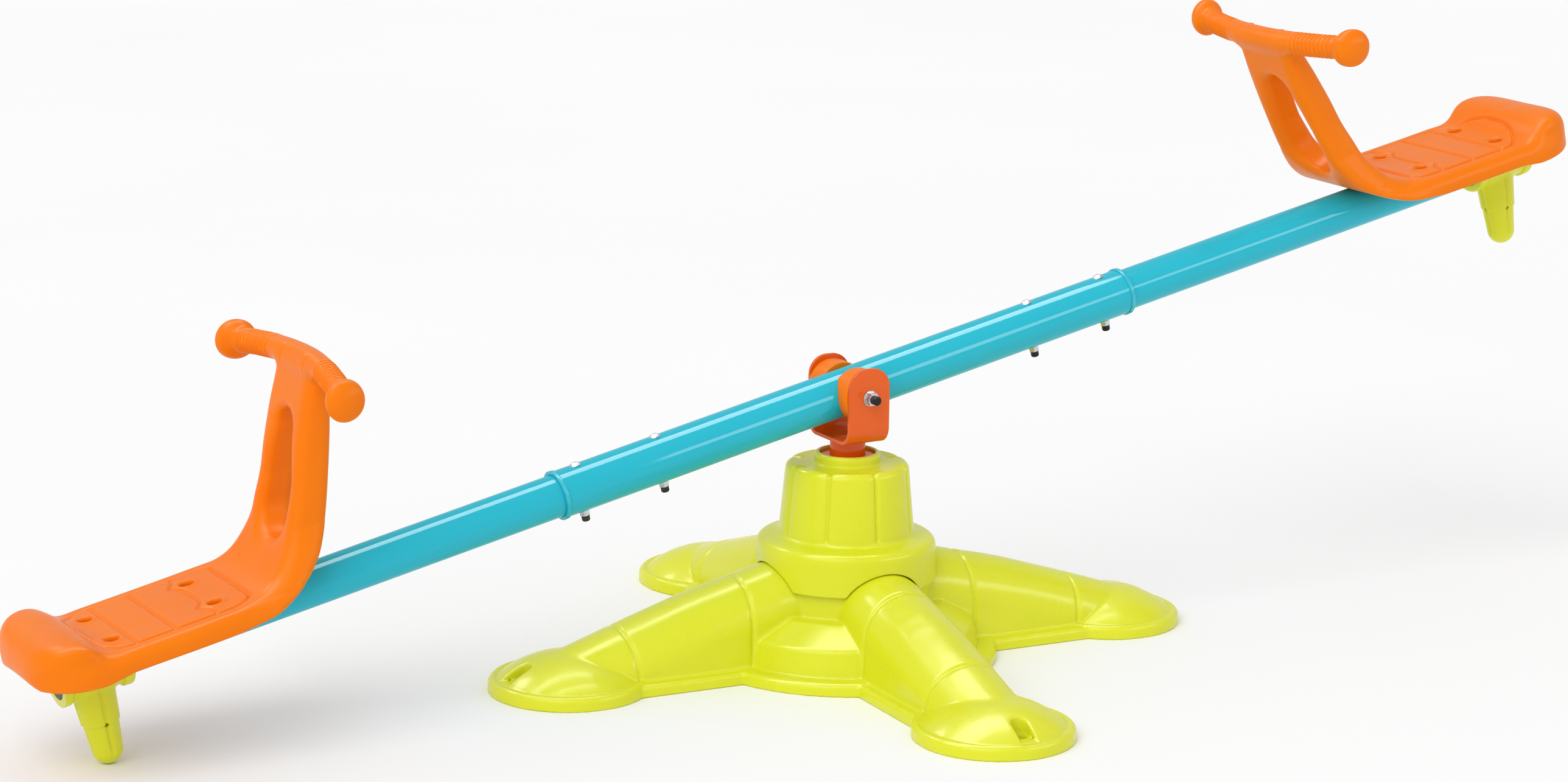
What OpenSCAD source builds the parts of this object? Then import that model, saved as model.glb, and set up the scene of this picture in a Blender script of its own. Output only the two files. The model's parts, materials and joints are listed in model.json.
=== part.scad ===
// Rotating seesaw: a four-footed plastic base, a swivelling fork and a tilting tube with two seats.
// Millimetres. Origin on the floor under the pivot, +X along the beam to the raised seat, +Z up.

/* [Layout] */
// Height of the tilt axis above the floor
pivot_h = 291; // [285:1:297]
// Tilt of the beam at rest, with the low bumper on the floor
rest_tilt = 12.47; // [11.5:0.01:13]
// Turn of the base against the beam
base_turn = -2.71; // [-20:0.01:20]

/* [Beam] */
// Outer diameter of the centre tube
centre_tube_d = 50; // [50:0.5:51]
// Wall of the centre tube
centre_tube_wall = 2; // [1.5:0.1:2.2]
// Half length of the centre tube
centre_half = 351; // [340:1:360]
// Outer diameter of the two end tubes
end_tube_d = 45; // [44:0.5:45.5]
// Wall of the end tubes
end_tube_wall = 1.5; // [1.2:0.1:2.5]
// Distance from the pivot to the open end of an end tube
end_tube_reach = 909; // [905:1:912]
// Distance from the pivot to the inner joint bolt
joint_bolt_near = 233; // [228:0.5:240]
// Distance from the pivot to the outer joint bolt
joint_bolt_far = 327.5; // [320:0.5:335]

/* [Seats] */
// Half width of a seat
seat_half_w = 86; // [84:0.5:88]
// Wall of the moulded seat
seat_wall = 4; // [3:0.5:4.5]
// Distance from the pivot to the inner pair of seat bolts
seat_bolt_near = 748; // [744:1:752]
// Distance from the pivot to the outer pair of seat bolts
seat_bolt_far = 857; // [853:1:860]
// Sideways offset of the seat bolts
seat_bolt_y = 37; // [35:1:40]
// Diameter of the handlebar
handlebar_d = 25; // [22:0.5:28]
// Sideways distance from the beam to the middle of a handlebar knob
knob_y = 136; // [130:1:140]
// Radius of a handlebar knob
knob_r = 20.5; // [18:0.5:22]

/* [Bumpers] */
// Distance from the pivot to a bumper
bumper_s = 876.5; // [872:0.5:880]
// Radius of the bumper at its tip
bumper_tip_r = 15.5; // [14:0.5:17]

/* [Base] */
// Distance from the swivel axis to the middle of a foot
foot_reach = 325; // [315:1:335]
// Radius of a foot
foot_r = 83.5; // [80:0.5:85]
// Height of a foot's dome
foot_h = 41; // [38:1:44]
// Radius of the round top of a leg
leg_r = 48; // [46:0.5:50]
// Radius of the apron round the drum
apron_r = 164; // [158:1:168]
// Wall of the moulded base
base_wall = 4; // [3:0.5:5]
// Radius of the anchor circle through the four feet
anchor_reach = 376; // [370:1:380]
// Radius of an anchor hole
anchor_hole_r = 4.5; // [3:0.5:5]

/* [Fork] */
// Half width between the outer faces of the fork's ears
fork_half_y = 44; // [43.5:0.5:46]
// Thickness of the fork's strip
fork_t = 4; // [3:0.5:4]
// Width of the fork's strip along the beam
fork_w = 49; // [46:1:52]
// Radius of the riser pipe
riser_r = 19; // [18:0.5:19.5]

/* [Hidden] */
$fn = 96;
eps = 0.01;
lime = "#c9cf10";
orange = "#e8641c";
blue = "#1fb0d0";
fork_orange = "#dd4a1c";
steel = "#b9bec4";
black = "#1c1c1e";
nylon = "#d8d6cc";

// Cubic curve through two end points with two handles, without its last point
function curve(a, b, c, d, n = 8) =
  [for (i = [0 : n - 1]) let (t = i / n, u = 1 - t)
    u * u * u * a + 3 * u * u * t * b + 3 * u * t * t * c + t * t * t * d];

// Circular arc about c from angle a0 to a1
function arc(c, r, a0, a1, n = 6) =
  [for (i = [0 : n]) let (a = a0 + (a1 - a0) * i / n) [c[0] + r * cos(a), c[1] + r * sin(a)]];

// The same outline on the other side of the second axis, in reverse order
function mirrored(points) = [for (i = [len(points) - 1 : -1 : 0]) [-points[i][0], points[i][1]]];

module on_beam() {
  translate([0, 0, pivot_h]) rotate([0, -rest_tilt, 0]) children();
}

module both_ends() {
  children();
  rotate([0, 0, 180]) children();
}

// Draws an outline given as [along the beam, up] and gives it a width across the beam
module side_slab(points, half_w) {
  rotate([90, 0, 0]) linear_extrude(2 * half_w, center = true) polygon(points);
}

// Draws an outline given as [across the beam, up] from one station along the beam to another
module cross_slab(points, from, to) {
  translate([from, 0, 0]) rotate([90, 0, 90]) linear_extrude(to - from) polygon(points);
}

module tube(from, to, outer_r, inner_r) {
  translate([from, 0, 0]) rotate([0, 90, 0]) difference() {
    cylinder(h = to - from, r = outer_r);
    translate([0, 0, -1]) cylinder(h = to - from + 2, r = inner_r);
  }
}

module ring(h, outer_r, inner_r) {
  difference() {
    cylinder(h = h, r = outer_r);
    translate([0, 0, -1]) cylinder(h = h + 2, r = inner_r);
  }
}

module hexagon(across_flats, h) {
  cylinder(h = h, r = across_flats / 2 / cos(30), $fn = 6);
}

// Low domed head, its flat side at the origin
module dome_head(r, h) {
  ball_r = (r * r + h * h) / (2 * h);
  rotate_extrude() intersection() {
    translate([0, h - ball_r]) circle(r = ball_r);
    square([2 * r, 2 * h]);
  }
}

// Straight cap with a round end
module nut_cap(r, h) {
  rotate_extrude() polygon(concat([[0, 0], [r, 0]], arc([r - 2, h - 2], 2, 0, 90), [[0, h]]));
}

// M6 locking nut, its flat side at the top, 6 mm above the origin
module small_nut() {
  difference() {
    union() {
      translate([0, 0, 1]) hexagon(10, 5);
      cylinder(h = 2, r = 4.2);
    }
    translate([0, 0, -1]) cylinder(h = 10, r = 3.02);
  }
}

// ---------------------------------------------------------------- base

waist_r = 90;
waist_top = 91;
drum_foot_r = 143;
drum_shoulder_r = 137;
drum_shoulder_z = 41;
drum_top_r = 104;
drum_top_z = 61;
apron_h = 14;
skirt_r = 96.5;
skirt_bottom = 87.5;
hub_r_low = 71.5;
hub_r_high = 66;
hub_top = 215.5;
collar_r = 35;
collar_top = 224.5;
recess_r = 30;
recess_floor = 213;
socket_r = 29;
bush_r = 23;
bush_flange_r = 27;
bush_flange_t = 3;
ridge_slope = 16.95;
leg_axis_r = 100;
leg_axis_z = 59;
leg_start = 65;
leg_side = leg_r - 1;
flange_half_w = 62;
flange_h = 13;
riser_bottom = 30.9;
riser_top = 239;
screw_circle = 58;
rib_bottom = 38;

module each_leg() {
  for (i = [0 : 3]) rotate([0, 0, base_turn + 90 * i]) children();
}

// Drum, waist and apron, all faces set in by w
module drum_form(w) {
  rotate_extrude() polygon(concat(
    [[0, -w], [apron_r - w, -w], [apron_r - w, 8 - w]],
    arc([apron_r - 6 - w, 8 - w], 6, 15, 90, 4),
    [[drum_foot_r - w, apron_h - w]],
    arc([drum_shoulder_r - 7 - w, drum_shoulder_z - 3 - w], 7, 5, 58, 4),
    arc([drum_top_r - 5 - w, drum_top_z - 5 - w], 5, 58, 90, 3),
    [[waist_r - w, drum_top_z - w], [waist_r - w, waist_top - 2 - w],
     [waist_r - 2 - w, waist_top - w], [0, waist_top - w]]));
}

// One round-topped leg sloping down to its foot, with the flange along its bottom
module leg_form(w) {
  intersection() {
    union() {
      translate([leg_axis_r, 0, leg_axis_z]) rotate([0, 90 + ridge_slope, 0])
        translate([0, 0, -leg_start]) cylinder(h = leg_start + 235, r = leg_r - w);
      side_slab([[30, -20], [foot_reach, -20], [foot_reach, -10], [leg_axis_r, leg_axis_z],
        [30, leg_axis_z]], leg_side - w);
    }
    translate([30, -80, -w]) cube([foot_reach - 30, 160, 130]);
  }
  cross_slab([[-flange_half_w + w, -w], [flange_half_w - w, -w], [flange_half_w - w, flange_h - 4 - w],
    [flange_half_w - 4 - w, flange_h - w], [-flange_half_w + 4 + w, flange_h - w],
    [-flange_half_w + w, flange_h - 4 - w]], 120, foot_reach - 30);
}

module foot_form(w) {
  rim_r = 7;
  rim_z = 8.5;
  dome_edge_r = foot_r - 8;
  dome_edge_z = 14;
  dome_rise = foot_h - dome_edge_z;
  dome_r = (dome_edge_r * dome_edge_r + dome_rise * dome_rise) / (2 * dome_rise);
  dome_angle = asin(dome_edge_r / dome_r);
  translate([foot_reach, 0, 0]) rotate_extrude() polygon(concat(
    [[0, -w], [foot_r - w, -w]],
    arc([foot_r - rim_r, rim_z], rim_r - w, 0, 80, 5),
    [for (p = arc([0, foot_h - dome_r], dome_r - w, 90 - dome_angle, 90, 10)) [max(p[0], 0), p[1]]]));
}

module base_form(w) {
  drum_form(w);
  each_leg() {
    leg_form(w);
    foot_form(w);
  }
}

// Bosses and ribs inside the base, cut to its outer shape later
module base_core() {
  each_leg() {
    translate([anchor_reach, 0, 0]) cylinder(h = 40, r = 14);
    translate([socket_r - 3, -1.5, rib_bottom]) cube([foot_reach - 60, 3, 80]);
    rotate([0, 0, 45]) translate([screw_circle, 0, waist_top - 12]) cylinder(h = 11, r = 8);
    rotate([0, 0, 45]) translate([socket_r - 3, -1.5, rib_bottom]) cube([waist_r - socket_r, 3, 20]);
  }
}

module base_body() {
  color(lime) difference() {
    union() {
      difference() {
        base_form(0);
        base_form(base_wall);
      }
      intersection() {
        base_form(0);
        base_core();
      }
      translate([0, 0, 20]) cylinder(h = recess_floor - 24, r = socket_r);
    }
    translate([0, 0, -1]) cylinder(h = 35, r = socket_r + 5);
    translate([0, 0, 30]) cylinder(h = 200, r = bush_r);
    each_leg() {
      translate([anchor_reach, 0, -1]) cylinder(h = 60, r = anchor_hole_r);
      translate([anchor_reach, 0, 6]) cylinder(h = 60, r = 9);
      translate([anchor_reach, -9, 15.5]) cube([40, 18, 30]);
      rotate([0, 0, 45]) translate([screw_circle, 0, 60]) cylinder(h = 40, r = 2.6);
    }
  }
}

// Outside of the hub cap, all faces set in by w
module hub_form(w) {
  rotate_extrude() polygon(concat(
    [[0, skirt_bottom - w], [skirt_r - w, skirt_bottom - w], [skirt_r - 0.5 - w, 124]],
    arc([skirt_r - 9.5 - w, 126 - w], 9, 10, 80, 5),
    [[hub_r_low + 1.5 - w, 136.5 - w], [hub_r_low - w, 139]],
    arc([hub_r_high - 8 - w, hub_top - 9.5 - w], 8, 5, 75, 5),
    [[52 - w, hub_top - 2.2 - w], [collar_r - w + 1.5, hub_top - 3 - w], [collar_r - w, hub_top - 1 - w],
     [collar_r - w, collar_top - 3 - w], [collar_r - 2.5 - w, collar_top - w], [0, collar_top - w]]));
}

module hub_cap() {
  color(lime) difference() {
    union() {
      difference() {
        hub_form(0);
        hub_form(base_wall);
      }
      intersection() {
        hub_form(0);
        union() {
          translate([0, 0, recess_floor - 4]) cylinder(h = 20, r = collar_r);
          each_leg() rotate([0, 0, 45]) translate([screw_circle, 0, waist_top]) cylinder(h = 120, r = 6);
        }
      }
    }
    translate([0, 0, recess_floor]) cylinder(h = 20, r = recess_r);
    translate([0, 0, 150]) cylinder(h = 80, r = bush_r + 0.4);
    translate([0, 0, 150]) cylinder(h = recess_floor - 4 - 150, r = socket_r + 0.4);
    translate([0, 0, 80]) cylinder(h = waist_top - 80, r = waist_r + 0.4);
    each_leg() {
      translate([leg_axis_r, 0, leg_axis_z]) rotate([0, 90 + ridge_slope, 0])
        translate([0, 0, -leg_start - 1]) cylinder(h = leg_start + 61, r = leg_r + 1);
      rotate([0, 0, 45]) translate([screw_circle, 0, 80]) cylinder(h = 40, r = 2);
    }
    for (i = [0 : 7]) rotate([0, 0, base_turn + 45 * i])
      translate([0, 0, 139]) rotate([0, -4, 0]) translate([hub_r_low - 2.5, -2.5, 0]) cube([20, 5, 90]);
  }
}

module hub_screws() {
  color(steel) each_leg() rotate([0, 0, 45]) translate([screw_circle, 0, waist_top - 12]) {
    cylinder(h = 38, r = 2);
    translate([0, 0, -3]) cylinder(h = 3, r = 5);
  }
}

// ---------------------------------------------------------------- swivel and fork

thrust_top = 221.5;
thrust_r = 28;
thrust_bottom = recess_floor + bush_flange_t + 0.1;
lower_flange_bottom = 31;
lower_bush_bottom = lower_flange_bottom + bush_flange_t;
lower_bush_h = 34;
upper_bush_bottom = 170;
running_fit = 0.06;
washer_t = 3;
retaining_head_h = 6.4;

module upper_bush() {
  color(nylon) difference() {
    union() {
      translate([0, 0, upper_bush_bottom]) cylinder(h = recess_floor - upper_bush_bottom, r = bush_r);
      translate([0, 0, recess_floor]) cylinder(h = bush_flange_t, r = bush_flange_r);
    }
    translate([0, 0, upper_bush_bottom - 10]) cylinder(h = 80, r = riser_r + running_fit);
  }
}

module lower_bush() {
  color(nylon) difference() {
    union() {
      translate([0, 0, lower_bush_bottom]) cylinder(h = lower_bush_h, r = bush_r);
      translate([0, 0, lower_flange_bottom]) cylinder(h = bush_flange_t, r = bush_flange_r);
    }
    translate([0, 0, 20]) cylinder(h = 80, r = riser_r + running_fit);
  }
}

module riser_pipe() {
  color(fork_orange) translate([0, 0, riser_bottom]) ring(riser_top - riser_bottom, riser_r, riser_r - 3);
}

module thrust_flange() {
  color(fork_orange) translate([0, 0, thrust_bottom]) ring(thrust_top - thrust_bottom, thrust_r, riser_r);
}

module riser_end_plate() {
  color(steel) translate([0, 0, riser_bottom]) ring(8, riser_r - 3, 5);
}

module retaining_washer() {
  color(steel) translate([0, 0, riser_bottom - washer_t]) ring(washer_t, 26, 5.2);
}

module retaining_bolt() {
  color(steel) translate([0, 0, riser_bottom - washer_t]) {
    cylinder(h = 22, r = 5);
    translate([0, 0, -retaining_head_h]) hexagon(17, retaining_head_h);
  }
}

fork_bottom = riser_top;
fork_bend_r = 18;
fork_top = pivot_h + 31.5;
pivot_hole_r = 4.05;

// Half of the fork's strip seen along the beam, on the +Y side
function fork_outline() = concat(
  arc([fork_half_y - fork_bend_r, fork_bottom + fork_bend_r], fork_bend_r, -90, 0, 12),
  [[fork_half_y, fork_top], [fork_half_y - fork_t, fork_top]],
  arc([fork_half_y - fork_bend_r, fork_bottom + fork_bend_r], fork_bend_r - fork_t, 0, -90, 12));

module fork() {
  ear_corner = 21;
  half = fork_w / 2;
  color(fork_orange) difference() {
    intersection() {
      cross_slab(concat(fork_outline(), mirrored(fork_outline())), -half, half);
      side_slab(concat([[-half, fork_bottom - 1], [half, fork_bottom - 1]],
        arc([half - ear_corner, fork_top - ear_corner], ear_corner, 0, 90, 12),
        arc([-half + ear_corner, fork_top - ear_corner], ear_corner, 90, 180, 12)), 60);
    }
    translate([0, 0, pivot_h]) rotate([90, 0, 0]) cylinder(h = 120, r = pivot_hole_r, center = true);
  }
}

module along_pivot(y) {
  translate([0, y, pivot_h]) rotate([90, 0, 0]) children();
}

pivot_head_y = fork_half_y + 1.6;

module pivot_bolt() {
  color(steel) {
    along_pivot(pivot_head_y) cylinder(h = 2 * pivot_head_y + 11, r = 4);
    along_pivot(pivot_head_y + 5.3) hexagon(13, 5.3);
  }
}

module pivot_washers() {
  color(steel) {
    along_pivot(-fork_half_y) ring(1.6, 8.4, 4.2);
    along_pivot(fork_half_y + 1.6) ring(1.6, 8.4, 4.2);
  }
}

module pivot_nut() {
  color(steel) along_pivot(-pivot_head_y) difference() {
    union() {
      hexagon(13, 6.5);
      cylinder(h = 8, r = 5.4);
    }
    translate([0, 0, -1]) cylinder(h = 20, r = 4.02);
  }
}

module pivot_nut_cap() {
  color(black) along_pivot(-pivot_head_y - 8) difference() {
    nut_cap(5, 7.4);
    translate([0, 0, -1]) cylinder(h = 4.2, r = 4.02);
  }
}

// ---------------------------------------------------------------- beam

end_tube_r = end_tube_d / 2;
centre_tube_r = centre_tube_d / 2;
spacer_face = fork_half_y - fork_t - 0.4;
sleeve_r = 6;
end_tube_start = 213;

module pivot_sleeve() {
  color(steel) along_pivot(spacer_face) ring(2 * spacer_face, sleeve_r, pivot_hole_r);
}

// Round block with a hollow that fits the side of the tube
module pivot_spacer(side) {
  color(orange) on_beam() difference() {
    translate([0, side * spacer_face, 0]) rotate([side * 90, 0, 0]) cylinder(h = spacer_face - 14, r = 27.5);
    rotate([0, 90, 0]) cylinder(h = 80, r = centre_tube_r, center = true);
    rotate([90, 0, 0]) cylinder(h = 100, r = sleeve_r, center = true);
  }
}

module pivot_spacer_near() {
  pivot_spacer(-1);
}

module pivot_spacer_far() {
  pivot_spacer(1);
}

module joint_bolt_places() {
  for (end = [-1, 1], s = [joint_bolt_near, joint_bolt_far]) translate([end * s, 0, 0]) children();
}

joint_hole_r = 3.1;

module centre_tube() {
  color(blue) on_beam() difference() {
    tube(-centre_half, centre_half, centre_tube_r, centre_tube_r - centre_tube_wall);
    rotate([90, 0, 0]) cylinder(h = 80, r = sleeve_r, center = true);
    joint_bolt_places() cylinder(h = 80, r = joint_hole_r, center = true);
  }
}

// End tube on the +X side, with its joint holes
module end_tube() {
  difference() {
    tube(end_tube_start, end_tube_reach, end_tube_r, end_tube_r - end_tube_wall);
    joint_bolt_places() cylinder(h = 80, r = joint_hole_r, center = true);
    for (s = bumper_screw_s) translate([s, 0, -40]) cylinder(h = 30, r = 2);
  }
}

module end_tube_left() {
  color(blue) on_beam() rotate([0, 0, 180]) end_tube();
}

module end_tube_right() {
  color(blue) on_beam() end_tube();
}

// Split ring that closes the step between the two tubes
module joint_collar() {
  collar_w = 4.5;
  difference() {
    tube(centre_half, centre_half + collar_w, centre_tube_r + 1.4, end_tube_r + 0.1);
    rotate([50, 0, 0]) translate([centre_half - 1, -30, -1]) cube([collar_w + 2, 20, 2]);
  }
}

module joint_collar_left() {
  color(blue) on_beam() mirror([1, 0, 0]) joint_collar();
}

module joint_collar_right() {
  color(blue) on_beam() joint_collar();
}

module joint_bolts() {
  color(steel) on_beam() joint_bolt_places() {
    translate([0, 0, -34]) cylinder(h = 34 + centre_tube_r, r = 3);
    translate([0, 0, centre_tube_r]) dome_head(6, 3.3);
  }
}

module joint_nuts() {
  color(steel) on_beam() joint_bolt_places() translate([0, 0, -centre_tube_r - 6]) small_nut();
}

module joint_nut_caps() {
  color(black) on_beam() joint_bolt_places() translate([0, 0, -centre_tube_r - 6]) mirror([0, 0, 1])
    difference() {
      nut_cap(4.4, 6.3);
      translate([0, 0, -1]) cylinder(h = 4.2, r = 3.02);
    }
}

module tube_end_plugs() {
  color(black) on_beam() both_ends() {
    difference() {
      tube(end_tube_reach - 14, end_tube_reach, end_tube_r - end_tube_wall - 0.1, end_tube_r - 4);
      translate([bumper_screw_s[1], 0, -40]) cylinder(h = 30, r = 2);
    }
    translate([end_tube_reach, 0, 0]) rotate([0, 90, 0]) cylinder(h = 3, r = end_tube_r - 0.3);
  }
}

// ---------------------------------------------------------------- seats

seat_bottom = 9;
seat_top = 30.5;
lip_end = 950;
lip_crest = 57.5;
lip_split = 864;
slot_half_w = 22;
slot_low = 84;
slot_high = 158;
lug_bottom = 11;
lug_t = 3;
lug_top = lug_bottom + lug_t;
seat_recess = 17;

// Outside of a seat seen from the side, as [along the beam, up]
seat_side = concat(
  [[936, seat_bottom + 1], [860, seat_bottom]],
  curve([725, seat_bottom], [680, seat_bottom], [650, 36], [622, 86]),
  curve([622, 86], [609, 131], [600, 163], [587, 208], 3),
  [[583, 224]],
  curve([603, 222], [644, 100], [671, 27], [740, seat_top], 14),
  curve([856, seat_top], [880, seat_top], [872, lip_crest], [916, lip_crest]),
  curve([916, lip_crest], [934, lip_crest], [lip_end, 52], [lip_end, 38], 6),
  curve([lip_end, 38], [lip_end, 26], [944, 13], [936, seat_bottom + 1], 4));

// Hollow inside the seat and its column, open at the bottom
seat_side_inner = let (w = seat_wall) concat(
  [[936 - w, -5], [730, -5], [730, seat_bottom + w]],
  curve([725, seat_bottom + w], [682, seat_bottom + w], [654, 38], [622 + w, 86 + 1]),
  curve([622 + w, 87], [609 + w, 131], [604 + w, 150], [598 + w, 170], 3),
  curve([620 - w, 170], [644 - w, 100 - w], [673 - w, 27 - w], [740, seat_top - w], 12),
  curve([856 + w / 2, seat_top - w], [880 + w, seat_top - w], [874, lip_crest - w], [916, lip_crest - w]),
  curve([916, lip_crest - w], [932, lip_crest - w], [lip_end - w, 50], [lip_end - w, 38], 6));

// Half outline of the column and the pan seen along the beam, as [across, up], set in by w
function column_half(w, low) = concat(
  [[seat_half_w - w, low]],
  curve([seat_half_w - w, 17 - w], [seat_half_w - w, 25 - w], [82 - w, 29 - w], [75 - w, seat_top - w], 4),
  curve([75 - w, seat_top - w], [68 - w, 36 - w], [62 - w, 56], [51.5 - w, 80]),
  [[51.5 - w, 80], [43.5 - w, 224 - 10 * w]]);

// Half outline of the lip seen along the beam, set in by w
function lip_half(w, low) = concat(
  [[seat_half_w - w, low]],
  curve([seat_half_w - w, 20 - w], [seat_half_w - w, 40 - w], [74, 54 - w], [46, lip_crest - w]),
  [[46, lip_crest - w]]);

// Half outline of the seat seen from above, as [along the beam, across], set in by w
function plan_half(w) = concat(
  [[560, seat_half_w - w], [885, seat_half_w - w]],
  curve([885, seat_half_w - w], [915 - w, seat_half_w - w], [lip_end - w, 60], [lip_end - w, 0], 10),
  [[lip_end - w, 0]]);

module seat_shape(side_points, w, low) {
  plan = plan_half(w);
  intersection() {
    side_slab(side_points, seat_half_w + 5);
    translate([0, 0, low - 2]) linear_extrude(260)
      polygon(concat(plan, [for (i = [len(plan) - 2 : -1 : 0]) [plan[i][0], -plan[i][1]]]));
    union() {
      cross_slab(concat(column_half(w, low), mirrored(column_half(w, low))), 560, lip_split);
      cross_slab(concat(lip_half(w, low), mirrored(lip_half(w, low))), lip_split - eps, 960);
    }
  }
}

module slot_shape(grow) {
  cross_slab(concat(
    arc([0, slot_high], slot_half_w + grow, 0, 180, 12),
    arc([0, slot_low], slot_half_w + grow, 180, 360, 12)), 540, 720);
}

// Curve of the handlebar: its middle, its ends and the circle through them
bar_mid = [588, 226];
bar_end = [607, 225];
bar_sag = norm(bar_end - bar_mid);
bar_bend_r = (knob_y * knob_y + bar_sag * bar_sag) / (2 * bar_sag);
bar_half_angle = asin(knob_y / bar_bend_r);
bar_slope = atan2(bar_end[1] - bar_mid[1], bar_end[0] - bar_mid[0]);

// Places children at the centre of the handlebar's curve, its middle pointing back at the pivot
module at_bar() {
  translate([bar_mid[0], 0, bar_mid[1]]) rotate([0, -bar_slope, 0]) translate([bar_bend_r, 0, 0]) children();
}

knob_half = 12.5;

// Ball with a flat outer end and a short neck, its neck pointing up
module knob() {
  rotate_extrude() intersection() {
    circle(r = knob_r);
    translate([0, -knob_half]) square(2 * knob_r);
  }
  cylinder(h = knob_r + 6, r1 = knob_r - 3, r2 = handlebar_d / 2 - 2);
}

module handlebar() {
  at_bar() {
    rotate([0, 0, 180 - bar_half_angle]) rotate_extrude(angle = 2 * bar_half_angle, $fn = 720)
      translate([bar_bend_r, 0]) circle(r = handlebar_d / 2);
    for (end = [-1, 1]) rotate([0, 0, 180 + end * bar_half_angle]) translate([bar_bend_r, 0, 0])
      rotate([end * 90, 0, 0]) knob();
  }
}

module seat_bolt_places() {
  for (s = [seat_bolt_near, seat_bolt_far], y = [-seat_bolt_y, seat_bolt_y]) translate([s, y, 0]) children();
}

module seat() {
  pad_top = 29;
  difference() {
    union() {
      difference() {
        seat_shape(seat_side, 0, 0);
        difference() {
          seat_shape(seat_side_inner, seat_wall, -8);
          slot_shape(seat_wall);
        }
      }
      seat_bolt_places() translate([0, 0, lug_top]) cylinder(h = pad_top - lug_top, r = 12);
      handlebar();
    }
    slot_shape(0);
    translate([500, 0, 0]) rotate([0, 90, 0]) cylinder(h = 240, r = end_tube_r + 0.3);
    seat_bolt_places() {
      cylinder(h = 60, r = 3.2);
      translate([0, 0, seat_recess]) cylinder(h = 30, r = 8.5);
    }
  }
}

module seat_left() {
  color(orange) on_beam() rotate([0, 0, 180]) seat();
}

module seat_right() {
  color(orange) on_beam() seat();
}

// Flat steel lugs welded to the sides of the end tubes, which the seats are bolted to
module seat_lugs() {
  color(blue) on_beam() both_ends() for (s = [seat_bolt_near, seat_bolt_far], side = [-1, 1]) difference() {
    translate([s - 12.5, side > 0 ? 10 : -seat_bolt_y - 13, lug_bottom]) cube([25, seat_bolt_y + 3, lug_t]);
    translate([s - 50, 0, 0]) rotate([0, 90, 0]) cylinder(h = 100, r = end_tube_r);
    translate([s, side * seat_bolt_y, 0]) cylinder(h = 60, r = 3.2);
  }
}

module seat_bolts() {
  color(steel) on_beam() both_ends() seat_bolt_places() {
    translate([0, 0, 4]) cylinder(h = seat_recess - 4, r = 3);
    translate([0, 0, seat_recess]) dome_head(6, 3);
  }
}

module seat_nuts() {
  color(steel) on_beam() both_ends() seat_bolt_places() translate([0, 0, lug_bottom - 6]) small_nut();
}

// ---------------------------------------------------------------- bumpers

bumper_screw_s = [bumper_s - 31, bumper_s + 26];
// Height of the middle of the round tip, so that the low tip just meets the floor
bumper_tip_n = (bumper_tip_r - pivot_h + bumper_s * sin(rest_tilt)) / cos(rest_tilt);
bumper_step_n = -59;
bumper_top_r = 22;
bumper_step_r = 19.6;
saddle_r = 28.5;
saddle_rib_r = 32;

// Post with a round tip under a saddle that fits the tube from below
module bumper() {
  difference() {
    union() {
      translate([bumper_s, 0, bumper_step_n])
        cylinder(h = -bumper_step_n - 20, r1 = bumper_step_r, r2 = bumper_top_r);
      translate([bumper_s, 0, bumper_tip_n]) {
        cylinder(h = bumper_step_n - bumper_tip_n + 1, r1 = bumper_tip_r, r2 = bumper_step_r - 1.3);
        sphere(r = bumper_tip_r);
      }
      translate([bumper_s - 38, 0, 0]) rotate([0, 90, 0]) cylinder(h = 73, r = saddle_r);
      for (s = [bumper_s - 38, bumper_s + 25]) translate([s, 0, 0]) rotate([0, 90, 0])
        cylinder(h = 10, r = saddle_rib_r);
    }
    translate([bumper_s - 60, 0, 0]) rotate([0, 90, 0]) cylinder(h = 120, r = end_tube_r + 0.1);
    translate([bumper_s - 60, -50, 4]) cube([120, 100, 60]);
    for (a = [0 : 90 : 270]) translate([bumper_s, 0, bumper_tip_n]) rotate([0, 0, a]) rotate([0, 5, 0])
      translate([bumper_tip_r + 0.5, 0, -20]) cylinder(h = 90, r = 2.4);
    for (s = bumper_screw_s) translate([s, 0, -50]) {
      cylinder(h = 40, r = 2.3);
      cylinder(h = 50 - 29, r = 4.6);
    }
  }
}

module bumper_left() {
  color(lime) on_beam() rotate([0, 0, 180]) bumper();
}

module bumper_right() {
  color(lime) on_beam() bumper();
}

module bumper_screws() {
  color(steel) on_beam() both_ends() for (s = bumper_screw_s) translate([s, 0, -29]) {
    cylinder(h = 14, r = 1.9);
    mirror([0, 0, 1]) dome_head(4, 2.2);
  }
}

base_body();
hub_cap();
hub_screws();
upper_bush();
lower_bush();
riser_pipe();
thrust_flange();
riser_end_plate();
retaining_washer();
retaining_bolt();
fork();
pivot_bolt();
pivot_washers();
pivot_nut();
pivot_nut_cap();
pivot_sleeve();
pivot_spacer_near();
pivot_spacer_far();
centre_tube();
end_tube_left();
end_tube_right();
joint_collar_left();
joint_collar_right();
joint_bolts();
joint_nuts();
joint_nut_caps();
seat_left();
seat_right();
seat_lugs();
seat_bolts();
seat_nuts();
bumper_left();
bumper_right();
bumper_screws();
tube_end_plugs();
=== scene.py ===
"""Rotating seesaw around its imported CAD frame. Moulded pieces are built in millimetres, placed in metres."""
import json
import math

import bpy
import numpy as np
from mathutils import Matrix, Vector


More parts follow.
